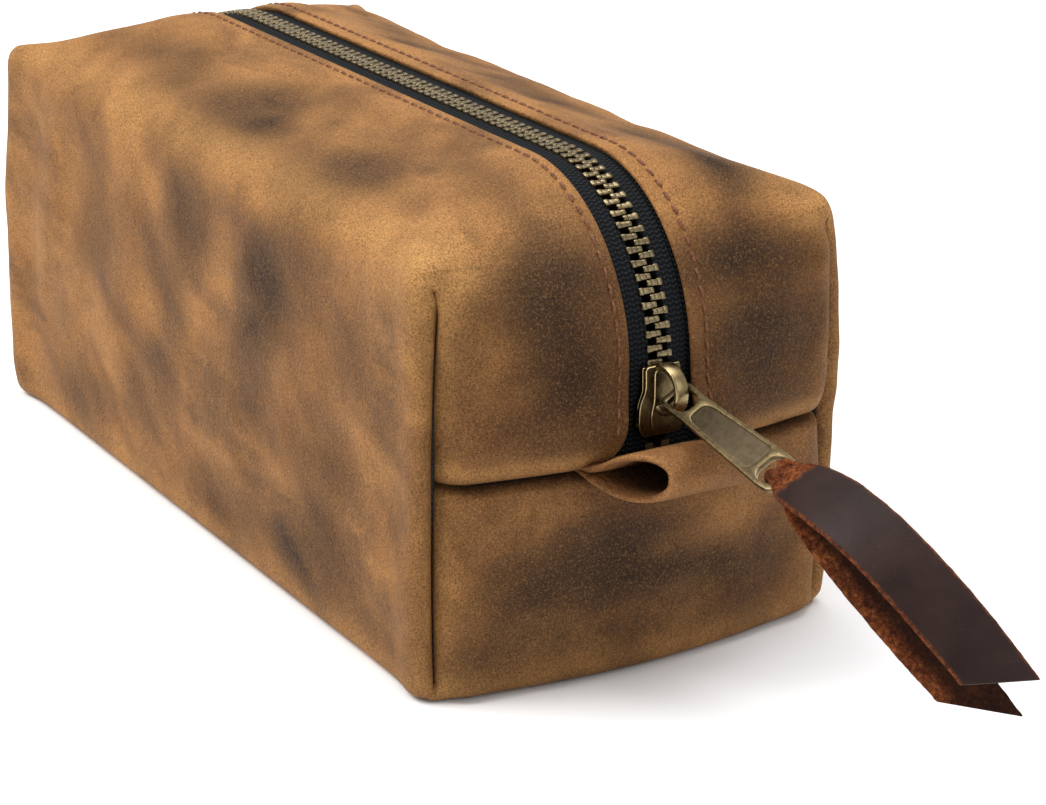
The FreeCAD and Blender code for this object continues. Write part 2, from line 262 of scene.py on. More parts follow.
# ------------------------------------------------------------------ materials
class Mat:
    def __init__(self, name):
        self.m = bpy.data.materials.new(name)
        self.m.use_nodes = True
        self.t = self.m.node_tree
        self.t.nodes.clear()
        self.out = self.t.nodes.new("ShaderNodeOutputMaterial")
        self.b = self.t.nodes.new("ShaderNodeBsdfPrincipled")
        self.t.links.new(self.b.outputs[0], self.out.inputs[0])
        self.co = self.t.nodes.new("ShaderNodeTexCoord").outputs["Object"]

    def node(self, kind, **props):
        n = self.t.nodes.new(kind)
        for k, v in props.items():
            setattr(n, k, v)
        return n

    def link(self, a, b):
        self.t.links.new(a, b)

    def put(self, sock, v):
        if isinstance(v, bpy.types.NodeSocket):
            self.link(v, sock)
        else:
            sock.default_value = v

    def noise(self, scale, detail=4, rough=.55, dist=0.0, co=None):
        n = self.node("ShaderNodeTexNoise")
        self.link(co or self.co, n.inputs["Vector"])
        n.inputs["Scale"].default_value = scale
        n.inputs["Detail"].default_value = detail
        n.inputs["Roughness"].default_value = rough
        n.inputs["Distortion"].default_value = dist
        return n.outputs["Fac"]

    def voronoi(self, scale, feature="F1", co=None):
        n = self.node("ShaderNodeTexVoronoi", feature=feature)
        self.link(co or self.co, n.inputs["Vector"])
        n.inputs["Scale"].default_value = scale
        return n.outputs["Distance"]

    def ramp(self, fac, stops):
        n = self.node("ShaderNodeValToRGB")
        self.link(fac, n.inputs[0])
        e = n.color_ramp.elements
        while len(e) < len(stops):
            e.new(.5)
        for el, (pos, col) in zip(e, stops):
            el.position = pos
            el.color = (*col, 1) if len(col) == 3 else col
        return n.outputs[0]

    def maps(self, fac, a, b, c=0.0, d=1.0):
        n = self.node("ShaderNodeMapRange")
        n.clamp = True
        self.link(fac, n.inputs[0])
        for i, v in zip((1, 2, 3, 4), (a, b, c, d)):
            n.inputs[i].default_value = v
        return n.outputs[0]

    def math(self, op, a, b=0.0, clamp=False):
        n = self.node("ShaderNodeMath", operation=op, use_clamp=clamp)
        self.put(n.inputs[0], a)
        self.put(n.inputs[1], b)
        return n.outputs[0]

    def mix(self, fac, a, b, mode="MIX"):
        n = self.node("ShaderNodeMix", data_type="RGBA", blend_type=mode)
        self.put(n.inputs[0], fac)
        for i, v in ((6, a), (7, b)):
            self.put(n.inputs[i], (*v, 1) if isinstance(v, tuple) and len(v) == 3 else v)
        return n.outputs[2]

    def attr(self, name):
        return self.node("ShaderNodeAttribute", attribute_name=name).outputs["Fac"]

    def scaled(self, v):
        n = self.node("ShaderNodeMapping")
        self.link(self.co, n.inputs[0])
        n.inputs["Scale"].default_value = v
        return n.outputs[0]

    def bump(self, height, dist, strength=1.0, after=None):
        n = self.node("ShaderNodeBump")
        n.inputs["Strength"].default_value = strength
        n.inputs["Distance"].default_value = dist
        self.link(height, n.inputs["Height"])
        if after is not None:
            self.link(after, n.inputs["Normal"])
        return n.outputs[0]

    def set(self, color=None, rough=None, metal=None, normal=None, spec=None, sheen=None):
        if color is not None: self.put(self.b.inputs["Base Color"], (*color, 1) if isinstance(color, tuple) and len(color) == 3 else color)
        if rough is not None: self.put(self.b.inputs["Roughness"], rough)
        if metal is not None: self.b.inputs["Metallic"].default_value = metal
        if normal is not None: self.link(normal, self.b.inputs["Normal"])
        if spec is not None: self.b.inputs["Specular IOR Level"].default_value = spec
        if sheen is not None: self.b.inputs["Sheen Weight"].default_value = sheen
        return self.m


def leather_material(name, tan=(.415, .194, .062), mid=(.145, .061, .0195), dark=(.024, .0118, .0062), gold=(.54, .28, .092)):
    m = Mat(name)
    big = m.noise(17, 5, .6, .8)
    mid_n = m.noise(55, 5, .62, .6)
    streak = m.noise(30, 4, .6, .5, m.scaled((.35, 1.2, 1.0)))
    tone = m.math("ADD", m.math("MULTIPLY", big, .62), m.math("MULTIPLY", mid_n, .38))
    # painted light and shade from the vertex tone: paler top, darker front end, plus random tone
    tone = m.math("ADD", tone, m.math("MULTIPLY", m.math("SUBTRACT", m.attr("tone_and_face_light"), .5), .34))
    c = m.ramp(tone, [(.33, mid), (.50, tuple(a * .45 + b * .55 for a, b in zip(tan, mid))), (.67, tan)])
    # smoky dark places: placed ones, broken up by noise, and a few free ones; the placed ones also carry the painted
    # seam shade
    placed = m.math("MULTIPLY", m.attr("dark"), m.maps(mid_n, .30, .62, .84, 1.06))
    free = m.maps(m.math("MULTIPLY", streak, big), .25, .38, 0.0, .62)
    c = m.mix(m.math("MAXIMUM", placed, free, True), c, dark)
    # lighter places on edges and folds of the pulled-up leather, and a painted highlight at the front left top corner
    light = m.math("MULTIPLY", m.attr("light"), m.maps(mid_n, .28, .66, .35, 1.0), True)
    c = m.mix(light, c, gold)
    # fine grain
    pores = m.noise(2300, 3, .7)
    c = m.mix(m.maps(pores, .42, .60, .0, .58), c, (.022, .010, .005))
    fibre = m.noise(1900, 4, .75, .6)
    c = m.mix(m.maps(fibre, .51, .70, 0, .34), c, gold)
    cell = m.voronoi(820)
    h = m.math("ADD", m.math("MULTIPLY", cell, .55), m.math("MULTIPLY", pores, .45))
    wr = m.math("ADD", m.noise(180, 6, .66, .4), m.math("MULTIPLY", m.noise(70, 3, .6, 1.2), 1.2))
    n = m.bump(wr, .0014, .55)
    n = m.bump(m.noise(420, 3, .6, 2.2), .0005, .5, n)
    n = m.bump(h, .00055, .75, n)
    return m.set(color=c, rough=m.maps(mid_n, .3, .7, .54, .70), normal=n, spec=.13, sheen=0)


def tape_material():
    m = Mat("woven_tape")
    m.co = m.node("ShaderNodeUVMap", uv_map="UVMap").outputs[0]
    sep = m.node("ShaderNodeSeparateXYZ")
    m.link(m.co, sep.inputs[0])
    s, v = sep.outputs[0], sep.outputs[1]                      # mm along, mm across
    # herringbone: slanted ribs that change side every 1.5 mm
    zig = m.math("PINGPONG", v, 1.0)
    rib = m.math("SINE", m.math("MULTIPLY", m.math("ADD", s, m.math("MULTIPLY", zig, .55)), 2 * math.pi / 1.25))
    col = m.math("COSINE", m.math("MULTIPLY", v, 2 * math.pi / 1.0))
    h = m.math("ADD", rib, m.math("MULTIPLY", col, .55))
    f = m.maps(h, -.5, 1.5, 0, 1)
    # near-black tape; the rib tops carry a painted highlight, lighter and bluish
    c = m.mix(f, (.0004, .0005, .0007), (.019, .024, .031))
    return m.set(color=c, rough=.72, normal=m.bump(f, .0006, 1.0), spec=.15)


def brass_material(name, base=(.36, .28, .15), dark=(.055, .042, .025), shine=.34, bright=(.62, .50, .28), age=.8):
    m = Mat(name)
    geo = m.node("ShaderNodeNewGeometry")
    edge = m.maps(geo.outputs["Pointiness"], .50, .57, 0, 1)
    pit = m.maps(geo.outputs["Pointiness"], .42, .50, 1, 0)
    patina = m.maps(m.noise(420, 5, .65), .38, .66, 0, age)
    c = m.mix(patina, base, dark)
    c = m.mix(m.math("MULTIPLY", pit, .8), c, dark)
    c = m.mix(m.math("MULTIPLY", edge, .85), c, bright)
    r = m.maps(m.noise(900, 4, .6), .3, .7, shine - .06, shine + .16)
    return m.set(color=c, rough=r, metal=1.0, normal=m.bump(m.noise(1400, 3, .6), .00012, .35))


def strap_material():
    m = Mat("pull_strap_leather")
    g = m.attr("grain")
    # smooth dark side
    a = m.mix(m.maps(m.noise(60, 4, .6, .6), .35, .68), (.016, .0078, .0066), (.030, .0150, .0125))
    a = m.mix(m.maps(m.noise(1500, 3, .6), .64, .76, 0, .30), a, (.09, .06, .05))
    # suede
    nap = m.noise(900, 5, .75)
    nap2 = m.noise(230, 4, .7)
    b = m.ramp(m.math("ADD", m.math("MULTIPLY", nap, .65), m.math("MULTIPLY", nap2, .35)),
               [(.38, (.030, .007, .002)), (.50, (.135, .034, .009)), (.64, (.36, .115, .034))])
    # painted shade: suede darkened in the gap between the two strap plies
    b = m.mix(m.math("MULTIPLY", m.attr("gap_shade"), .88), b, (.010, .0025, .001))
    c = m.mix(g, b, a)
    rough = m.maps(g, 0, 1, .95, .50)
    n1 = m.bump(nap, .0011, 1.0)
    n2 = m.bump(m.voronoi(1500), .00007, .4)
    mx = m.node("ShaderNodeMix", data_type="VECTOR")
    m.link(g, mx.inputs[0]); m.link(n1, mx.inputs[4]); m.link(n2, mx.inputs[5])
    m.link(mx.outputs[1], m.b.inputs["Normal"])
    return m.set(color=c, rough=rough, spec=.13)


def thread_material():
    m = Mat("waxed_thread")
    w = m.noise(1600, 3, .6)
    c = m.mix(m.maps(w, .35, .65), (.075, .022, .009), (.22, .085, .035))
    return m.set(color=c, rough=.62, normal=m.bump(w, .00015, .6), spec=.35)


def cloth_material(name, a, b):
    m = Mat(name)
    w1 = m.node("ShaderNodeTexWave", wave_type="BANDS", bands_direction="X")
    w2 = m.node("ShaderNodeTexWave", wave_type="BANDS", bands_direction="DIAGONAL")
    for w in (w1, w2):
        m.link(m.co, w.inputs["Vector"])
        w.inputs["Scale"].default_value = 320
        w.inputs["Distortion"].default_value = .4
    f = m.math("MULTIPLY", w1.outputs["Fac"], w2.outputs["Fac"])
    c = m.mix(f, a, b)
    c = m.mix(m.maps(m.noise(60, 3, .6), .4, .7, 0, .3), c, a)
    return m.set(color=c, rough=.9, normal=m.bump(f, .0003, .6), spec=.2)


LEATHER = leather_material("pull_up_leather")
TAB_LEATHER = leather_material("tab_leather", tan=(.255, .108, .035), mid=(.150, .060, .019), dark=(.035, .014, .006), gold=(.54, .27, .095))
TAPE, STRAP, THREAD = tape_material(), strap_material(), thread_material()
TEETH = brass_material("antique_brass_teeth", base=(.48, .385, .215), bright=(.88, .74, .46), dark=(.12, .09, .05), shine=.22, age=.5)
BRASS = brass_material("antique_brass_slider", base=(.085, .060, .027), dark=(.018, .012, .007), bright=(.16, .115, .055), shine=.28)
RIM = brass_material("worn_brass_rim", base=(.46, .345, .16), dark=(.16, .115, .055), bright=(.80, .64, .33), shine=.26)
CROWN_B = brass_material("antique_brass_crown", base=(.20, .15, .075), dark=(.05, .036, .02), bright=(.42, .32, .16), shine=.26)
STOPS = brass_material("darkened_stops", base=(.05, .038, .022), dark=(.012, .009, .006), bright=(.22, .17, .09), shine=.4)
PULL = brass_material("antique_brass_puller", base=(.125, .092, .046), dark=(.045, .033, .018), bright=(.20, .15, .075), shine=.30)
PANEL = brass_material("antique_brass_recess", base=(.070, .052, .031), dark=(.028, .021, .013), bright=(.09, .068, .04), shine=.42)
LINING = cloth_material("lining_cotton", (.010, .009, .008), (.045, .040, .034))
# binding tape coloured near-black warm brown, as painted crease shade where it shows in the corner seams
BINDING = cloth_material("binding_tape_crease_shade", (.006, .0035, .002), (.020, .012, .007))

# ------------------------------------------------------------------ the leather shell
# dark smoky places: centre, radii, strength (mm in the object's frame)
DARK = [((7, -57, 85), (21, 14, 15), .85), ((42, -57, 76), (18, 14, 16), .78), ((60, -57, 89), (22, 14, 12), .70), ((37, -57, 56), (16, 14, 18), .60),
        ((-60, -57, 70), (17, 14, 24), .55), ((78, -57, 48), (20, 14, 18), .66), ((94, -57, 80), (13, 14, 18), .45), ((62, -57, 19), (26, 14, 12), .70), ((28, -57, 16), (22, 14, 12), .60),
        ((90, -57, 10), (20, 14, 10), .50), ((-22, -57, 30), (20, 14, 17), .50), ((-92, -57, 28), (16, 14, 16), .35), ((-8, -57, 56), (14, 14, 18), .40), ((-70, -57, 16), (24, 14, 10), .4),
        ((-10, -40, 114), (36, 15, 14), .85), ((56, -43, 114), (36, 13, 14), .85), ((-64, -36, 114), (30, 13, 14), .70), ((20, -22, 118), (34, 8, 12), .45), ((92, -26, 114), (20, 9, 12), .45),
        ((133, -29, 95), (18, 15, 18), .92), ((133, -23, 76), (18, 15, 15), .80), ((128, -20, 108), (16, 12, 12), .6), ((133, -36, 66), (18, 12, 9), .45),
        ((133, 4, 25), (18, 46, 10), .90), ((133, -20, 27), (18, 22, 11), .95), ((133, -9, 36), (18, 30, 8), .80), ((133, -42, 10), (16, 16, 9), .50), ((133, 30, 14), (16, 18, 8), .5),
        ((97, 35, 116), (28, 11, 12), .85), ((133, 27, 99), (18, 24, 9), .95), ((133, 29, 80), (18, 22, 12), .85), ((133, 26, 66), (18, 20, 8), .55), ((30, 34, 118), (34, 11, 12), .65), ((-40, 34, 118), (30, 12, 12), .5),
        ((-40, 57, 70), (34, 14, 20), .7), ((50, 57, 40), (30, 14, 18), .7), ((-90, 57, 30), (24, 14, 14), .5), ((88, 57, 84), (24, 14, 14), .55), ((10, 57, 96), (22, 14, 12), .6),
        ((-133, -20, 88), (18, 22, 14), .7), ((-133, 22, 26), (18, 32, 12), .8), ((-133, -34, 38), (18, 18, 14), .4), ((-133, 26, 76), (18, 18, 12), .6)]


def tone_attributes(ob, q, s_edge, crease_shade):
    n2 = waves(q, 34, 21) * .20 + waves(q, 13, 22) * .06
    dark = np.zeros(len(q))
    for c, r, a in DARK:
        u = (q - np.array(c)) / np.array(r)
        v = np.sqrt((u ** 2).sum(1)) + n2
        dark = 1 - (1 - dark) * (1 - a * (1 - sstep(.15, 1.5, v)))
    fr = sstep(118, 130, np.abs(q[:, 0]))
    a0, b0 = q[:, 0] * .82 - q[:, 2] * .57, q[:, 0] * .57 + q[:, 2] * .82
    sw = waves(np.stack([a0 * .32, q[:, 1] * .55, b0], 1), 17, 44, 26)
    # painted shade: the front end a little darker; streaks of random tone elsewhere
    dark = dark * (1.0 + .06 * fr) + .22 * np.clip(sw - .35, 0, 1) * (1 - fr)
    # dark: smoky tone patches plus painted shade along the seams
    attr(ob, "dark", np.clip(np.maximum(dark, crease_shade), 0, .97))
    attr(ob, "light", s_edge)
    # painted light and shade: the top is painted paler than the walls, as if lit, and the front end darker, as if in
    # shade; warmer towards the rear below the top; the walls are palest at their edges; swaths and fine streaks of
    # random tone
    a1, b1 = q[:, 0] * .82 - q[:, 2] * .57, q[:, 0] * .57 + q[:, 2] * .82
    swath = waves(np.stack([a1 * .32, q[:, 1] * .55, b1], 1), 20, 41, 26)
    fine = waves(np.stack([a1 * .25, q[:, 1] * .5, b1], 1), 6.5, 42, 26)
    front = sstep(118, 130, np.abs(q[:, 0]))
    tone_and_face_light = .70 + .16 * (1 - sstep(-105, -70, q[:, 0])) * (1 - sstep(90, 106, q[:, 2])) - .42 * front + .20 * sstep(96, 112, q[:, 2]) * (1 - front) + (.27 - .15 * front) * swath + .11 * fine
    attr(ob, "tone_and_face_light", np.clip(tone_and_face_light, 0, 1))


pts, flags, faces = shell()
top_f, end_f, side_f, base_f = flags[:, 0], flags[:, 1], flags[:, 2], flags[:, 3]
Q, N = bag_surface(pts, end_f, side_f & ~end_f, base_f & ~end_f & ~side_f)
bag_ob = new_mesh("bag_leather", Q, faces)
# lighter along the long top edges, corners, seam shoulders and base edges, as pulled-up leather; the spot at the front
# left top corner is a painted highlight
ridge_top = np.exp(-((np.hypot(np.abs(Q[:, 1]) - 53, (Q[:, 2] - 107) * 1.0)) / 7.5) ** 2)
corner = np.exp(-((HW - np.abs(pts[:, 1])) / 5) ** 2) * np.exp(-((HL - np.abs(pts[:, 0])) / 7) ** 2)
# painted highlight at the front left top corner
painted_highlight_spot = np.exp(-(((Q - np.array([122, -54, 106])) / np.array([22, 12, 16])) ** 2).sum(1))
base_edge = np.exp(-((Q[:, 2] - 4) / 4) ** 2) * .35
seam_sh = np.exp(-((pts[:, 2] - 58.5) / 2.4) ** 2) * end_f * .45
light = np.clip(ridge_top * .50 + corner * .35 + painted_highlight_spot * .55 + base_edge + seam_sh, 0, 1)
S_C = np.where(end_f & side_f, 0, np.where(end_f, HW - np.abs(pts[:, 1]), np.where(side_f, HL - np.abs(pts[:, 0]), 99)))
# painted shade in the corner seam creases and under the end seam's overhang, partly the darker turned-in leather edges
crease_shade = np.maximum(.97 * np.exp(-(S_C / 1.25) ** 2) * (1 - sstep(100, 105, pts[:, 2])), .45 * np.exp(-(S_C / 4.0) ** 2) * (1 - sstep(100, 105, pts[:, 2])))
crease_shade = np.maximum(crease_shade, end_f * np.where(np.abs(pts[:, 2] - ZS) < .1, .97, .9 * np.exp(-((pts[:, 2] - ZS) / 1.1) ** 2)))
tone_attributes(bag_ob, Q, light, crease_shade)
so = bag_ob.modifiers.new("thickness", "SOLIDIFY")
so.thickness, so.offset, so.use_even_offset = .002, -1.0, False
ss = bag_ob.modifiers.new("smooth", "SUBSURF")
ss.levels = ss.render_levels = 1
bag_ob.data.materials.append(LEATHER)
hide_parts("leather_wrap")
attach(bag_ob, "bag")

# ------------------------------------------------------------------ lining
lp = Q - N * 4.4
lin = new_mesh("bag_lining", lp, faces)
lm = lin.modifiers.new("thickness", "SOLIDIFY")
lm.thickness, lm.offset = .0006, -1.0
lin.data.materials.append(LINING)
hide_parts("lining"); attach(lin, "bag")


# ------------------------------------------------------------------ path of the zip
def path(dist, depth, y=0.0):
    """Point on the zip's path: x, z, angle from +X towards +Z (radians), total length."""
    k = 1 - (y / HW) ** 2
    xh, zt = HL + BULGE * k, HC + CROWN * k
    rf, rr = RCOR + (RF - RCOR) * k, RCOR + (RR - RCOR) * k
    qf = lambda r: (r - 2.45) * math.pi / 2
    total = (zt - rf - ZS) + qf(rf) + (2 * xh - rf - rr) + qf(rr) + (zt - rr - ZS)
    flip = dist > total / 2
    s, r = (total - dist, rr) if flip else (dist, rf)
    up, q = zt - r - ZS, qf(r)
    if s < up:
        x, z, a = xh - depth, ZS + s, math.pi / 2
    elif s < up + q:
        th = (s - up) / (r - 2.45)
        x, z, a = xh - r + (r - depth) * math.cos(th), zt - r + (r - depth) * math.sin(th), math.pi / 2 + th
    else:
        x, z, a = xh - r - (s - up - q), zt - depth, math.pi
    if flip:
        x, a = -x, 2 * math.pi - a
    return x, z, a, total


TOTAL = path(0, 0)[3]


def frame_at(dist, depth, y=0.0):
    x, z, a, _ = path(dist, depth, y)
    t = np.array([math.cos(a), 0, math.sin(a)])
    yv = np.array([0, 1.0, 0])
    n = np.array([math.sin(a), 0, -math.cos(a)])
    return np.array([x, 0.0, z]), t, yv, n


# tapes: an open strip each side, thick and woven, with the raised cord at its inner edge
for side, node in ((-1, "zip_tape_left"), (1, "zip_tape_right")):
    ds = np.linspace(-1.0, TOTAL + 1.0, 430)
    prof = [(2.5, .05), (2.7, .45), (3.3, .60), (3.9, .42), (4.5, .18), (6.6, .06), (9.0, 0), (11.5, -.10), (15.5, -.10)]
    prof = prof + [(y, h - .75) for y, h in reversed(prof)]
    m_ = len(prof)
    vs, uv = [], []
    for dd in ds:
        o, t, yv, n = frame_at(min(max(dd, 0), TOTAL), 2.15)
        o = o + t * (dd - min(max(dd, 0), TOTAL))
        for j, (yy, h) in enumerate(prof):
            vs.append(o + yv * side * yy + n * h)
            uv.append((dd, yy))
    fs = []
    for i in range(len(ds) - 1):
        for j in range(m_):
            a, b = i * m_ + j, i * m_ + (j + 1) % m_
            q = (a, b, b + m_, a + m_)
            fs.append(q if side > 0 else q[::-1])
    fs.append(tuple(range(m_))[::-1] if side > 0 else tuple(range(m_)))
    fs.append(tuple(range((len(ds) - 1) * m_, len(ds) * m_)) if side > 0 else tuple(range((len(ds) - 1) * m_, len(ds) * m_))[::-1])
    ob = new_mesh("woven_" + node, vs, fs)
    layer = ob.data.uv_layers.new(name="UVMap")
    for poly in ob.data.polygons:
        for li in poly.loop_indices:
            layer.data[li].uv = uv[ob.data.loops[li].vertex_index]
    ob.data.materials.append(TAPE)
    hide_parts(node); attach(ob, "bag")


# ------------------------------------------------------------------ small solids
def bevel_box(sx, sy, sz, r, seg=2):
    bm = bmesh.new()
    bmesh.ops.create_cube(bm, size=1)
    bmesh.ops.scale(bm, vec=(sx, sy, sz), verts=bm.verts)
    bmesh.ops.bevel(bm, geom=bm.edges[:], offset=r, segments=seg, affect="EDGES", profile=.6)
    v = np.array([list(x.co) for x in bm.verts])
    f = [[y.index for y in x.verts] for x in bm.faces]
    bm.free()
    return v, f


def merge(parts):
    vs, fs, o = [], [], 0
    for v, f in parts:
        vs.append(v)
        fs += [[i + o for i in q] for q in f]
        o += len(v)
    return np.concatenate(vs), fs


def tooth():
    """One element: jaws round the tape, waist, then the interlocking head with its nib."""
    a = bevel_box(1.80, 1.4, 3.1, .34)
    b = bevel_box(1.52, 4.1, 2.8, .32)
    c = bevel_box(1.30, 1.4, 3.2, .36)
    va = a[0] + [0, 2.75, 0]
    vb = b[0] + [0, 1.3, 0]
    vc = c[0] + [0, -.05, 0]
    return merge([(va, a[1]), (vb, b[1]), (vc, c[1])])


tv, tf = tooth()
rows = {-1: [], 1: []}
s, i = 61.0 - ZS + 1.2, 0
while s < TOTAL - 8:
    o, t, yv, n = frame_at(s, 2.3)
    z_here = ZS + s
    sep = min(2.0, (72 - z_here) * .5) if z_here < 72 else 0.0
    sd = 1 if i % 2 else -1
    w = tv.copy()
    tilt = .018 * math.sin(i * 2.3) 
    loc = o + t * w[:, [0]] * 1.0 + yv * (w[:, [1]] + sep * .5) * sd + n * (w[:, [2]] + .1 * math.sin(i * 1.7) * .4)
    loc += t * (w[:, [1]] * tilt)
    rows[sd].append((loc, [q if sd > 0 else q[::-1] for q in tf]))
    s += PITCH / 2
    i += 1
for sd, node in ((-1, "zip_teeth_left"), (1, "zip_teeth_right")):
    v, f = merge(rows[sd])
    ob = new_mesh("brass_" + node, v, f, smooth=True)
    ob.data.materials.append(TEETH)
    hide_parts(node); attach(ob, "bag")

# ------------------------------------------------------------------ stitches
def strand(a, b, n, r0, seg=7):
    """A stitch: a tapered thread from a to b that dips into the leather at both ends."""
    rings = []
    ts = np.linspace(0, 1, 8)
    t = (b - a) / np.linalg.norm(b - a)
    w = np.cross(n, t)
    for u in ts:
        lift = r0 * (.15 + 1.0 * math.sin(math.pi * u) ** .55) - .18
        c = a + (b - a) * u + n * lift
        r = r0 * (.55 + .45 * math.sin(math.pi * u) ** .5)
        rings.append([c + (w * math.cos(k) + n * math.sin(k)) * r for k in np.linspace(0, 2 * math.pi, seg, endpoint=False)])
    v = np.array(rings).reshape(-1, 3)
    f = [(i * seg + j, i * seg + (j + 1) % seg, (i + 1) * seg + (j + 1) % seg, (i + 1) * seg + j) for i in range(len(ts) - 1) for j in range(seg)]
    f += [tuple(range(seg))[::-1], tuple(range((len(ts) - 1) * seg, len(ts) * seg))]
    return v, f


def zip_side_line(y):
    """Points and normals on the leather along the zip, y mm off its middle."""
    z1 = np.linspace(62, 108, 80)
    x1 = np.linspace(127, -127, 260)
    hull = [(HL, y, z) for z in z1] + [(x, y, HC) for x in x1[1:-1]] + [(-HL, y, z) for z in z1[::-1]]
    hull = np.array(hull)
    end = np.array([abs(h[0]) == HL for h in hull])
    q, n = bag_surface(hull, end, np.zeros(len(hull), bool), np.zeros(len(hull), bool))
    return q, n


for sd, node in ((-1, "topstitch_left"), (1, "topstitch_right")):
    q, n = zip_side_line(sd * SY[sd])
    L = np.concatenate([[0], np.cumsum(np.linalg.norm(np.diff(q, axis=0), axis=1))])
    at = lambda u: (np.array([np.interp(u, L, q[:, k]) for k in range(3)]), np.array([np.interp(u, L, n[:, k]) for k in range(3)]))
    parts, u = [], 1.0
    while u < L[-1] - 5:
        a, na = at(u)
        b, _ = at(u + 3.15)
        jig = rng.uniform(-.08, .08)
        parts.append(strand(a + [0, sd * .16 + jig, 0], b + [0, -sd * .16 + jig, 0], na / np.linalg.norm(na), .42))
        u += 4.2
    v, f = merge(parts)
    ob = new_mesh("thread_" + node, v, f)
    ob.data.materials.append(THREAD)
    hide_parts(node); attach(ob, "bag")


# ------------------------------------------------------------------ plates with holes, from outlines
def rounded(pts, r, seg=6):
    """Rounds the corners of a closed outline."""
    out, m_ = [], len(pts)
    rs = r if isinstance(r, (list, tuple)) else [r] * m_
    for i in range(m_):
        p, a, b = map(lambda k: np.array(pts[k % m_], float), (i, i - 1, i + 1))
        u, w = a - p, b - p
        lu, lw = np.linalg.norm(u), np.linalg.norm(w)
        d = min(rs[i], lu * .49, lw * .49)
        s_, e_ = p + u / lu * d, p + w / lw * d
        for k in np.linspace(0, 1, seg):
            out.append(tuple((1 - k) ** 2 * s_ + 2 * k * (1 - k) * p + k * k * e_))
    return out


def plate(name, outlines, half, bevel):
    cu = bpy.data.curves.new(name, "CURVE")
    cu.dimensions = "2D"
    cu.fill_mode = "BOTH"
    for o in outlines:
        sp = cu.splines.new("POLY")
        sp.points.add(len(o) - 1)
        for k, p in enumerate(o):
            sp.points[k].co = (p[0], p[1], 0, 1)
        sp.use_cyclic_u = True
    cu.extrude, cu.bevel_depth, cu.bevel_resolution = half - bevel, bevel, 2
    cu.offset = -bevel
    tmp = bpy.data.objects.new(name, cu)
    sc.collection.objects.link(tmp)
    dg = bpy.context.evaluated_depsgraph_get()
    me = bpy.data.meshes.new_from_object(tmp.evaluated_get(dg))
    bpy.data.objects.remove(tmp)
    v = np.array([list(x.co) for x in me.vertices])
    f = [list(p.vertices) for p in me.polygons]
    bpy.data.meshes.remove(me)
    return v, f


def rims(ob, axis, dark_i=0, rim_i=1, only=0):
    """Worn bright bevels, darker flats."""
    for poly in ob.data.polygons:
        if poly.material_index == only:
            k = abs(poly.normal.dot(Vector(axis)))
            poly.material_index = rim_i if .18 < k < .965 else dark_i


def clean(ob, dist=.00002, angle=35):
    bm = bmesh.new()
    bm.from_mesh(ob.data)
    bmesh.ops.remove_doubles(bm, verts=bm.verts, dist=dist)
    bmesh.ops.recalc_face_normals(bm, faces=bm.faces)
    bm.to_mesh(ob.data)
    bm.free()
    ob.data.polygons.foreach_set("use_smooth", [True] * len(ob.data.polygons))
    m_ = ob.modifiers.new("edges", "EDGE_SPLIT")
    m_.split_angle = math.radians(angle)


# ---- slider
XF = HL + BULGE


def yz_to_world(v, x):
    """Plate drawn in (y, z) with its thickness along x."""
    return np.stack([x + v[:, 2], v[:, 0], v[:, 1]], 1)


z0, z1 = 61.0, 78.5
top_out = rounded([(-5.1, z0), (5.1, z0), (6.5, z0 + 2.6), (6.3, 69.4), (4.7, 72.6), (4.9, z1), (-4.9, z1), (-4.7, 72.6), (-6.3, 69.4), (-6.5, z0 + 2.6)], [1.4, 1.4, 2, 2.4, 2.4, 1.3, 1.3, 2.4, 2.4, 2])
bot_out = rounded([(-5.0, z0), (5.0, z0), (6.2, z0 + 2.6), (6.0, 69.4), (4.9, 72.6), (4.9, z1), (-4.9, z1), (-4.9, 72.6), (-6.0, 69.4), (-6.2, z0 + 2.6)], 1.6)
parts = []
v, f = plate("t", [top_out], .6, .3); parts.append((yz_to_world(v, XF - .05), f))
v, f = plate("t", [bot_out], .6, .3); parts.append((yz_to_world(v, XF - 4.85), f))
for sd in (-1, 1):       # turned-in side walls
    wall = [(sd * 5.4, z0 + 1), (sd * 6.5, z0 + 2.8), (sd * 6.3, 69.3), (sd * 5.1, 72.4), (sd * 5.2, z1 - .3), (sd * 4.35, z1 - .3), (sd * 4.3, 72.3), (sd * 5.5, 69.0), (sd * 5.7, z0 + 3.2), (sd * 4.9, z0 + 1.6)]
    v, f = plate("t", [rounded(wall, .35, 3)], .7, .15); parts.append((yz_to_world(v, XF - 1.1), f))
    v, f = plate("t", [rounded(wall, .35, 3)], .7, .15); parts.append((yz_to_world(v, XF - 3.75), f))
v, f = plate("t", [rounded([(-1.0, z0 + .4), (1.0, z0 + .4), (1.1, z0 + 2.6), (0, z0 + 5.0), (-1.1, z0 + 2.6)], .4)], 1.9, .1); parts.append((yz_to_world(v, XF - 2.45), f))
# raised saddle the crown springs from
v, f = plate("t", [rounded([(-3.0, 62.6), (3.0, 62.6), (3.4, 66.5), (2.6, 70), (2.7, 77.6), (-2.7, 77.6), (-2.6, 70), (-3.4, 66.5)], 1.3)], .42, .28); parts.append((yz_to_world(v, XF + .68), f))
v, f = merge(parts)
ob = new_mesh("slider_body_brass", v, f)
ob.data.materials.append(BRASS)
ob.data.materials.append(RIM)
rims(ob, (1, 0, 0))
clean(ob)
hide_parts("slider_body"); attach(ob, "slider")

